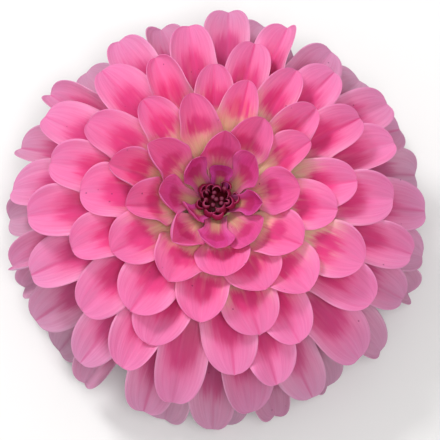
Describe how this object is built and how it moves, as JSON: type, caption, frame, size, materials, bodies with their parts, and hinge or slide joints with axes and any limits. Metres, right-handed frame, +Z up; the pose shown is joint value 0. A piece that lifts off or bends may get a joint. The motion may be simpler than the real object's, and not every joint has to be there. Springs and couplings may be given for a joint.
{
  "type": "dahlia flower head",
  "caption": "Double dahlia bloom as picked, with cupped ray petals in a golden-angle spiral round a dark bud centre, green bracts and a short cut stem, lying face up.",
  "frame": {"origin": "middle of the bloom's box in plan, at the height of the surface that its back petals lie on", "axes": "+Z up along the flower's own axis, out of its face; -Y towards the side that the picture shows at the bottom"},
  "size_m": [0.1318, 0.1326, 0.055],
  "materials": {
    "ray_petals": "soft satin petal, pink with a cream claw",
    "centre_florets": "satin, dark maroon",
    "bracts": "satin leaf green",
    "stem": "satin green, moist cut end"
  },
  "bodies": {
    "root": {"ray_petals": "ray_petals", "centre_florets": "centre_florets", "bracts": "bracts", "stem": "stem"}
  },
  "joints": []
}
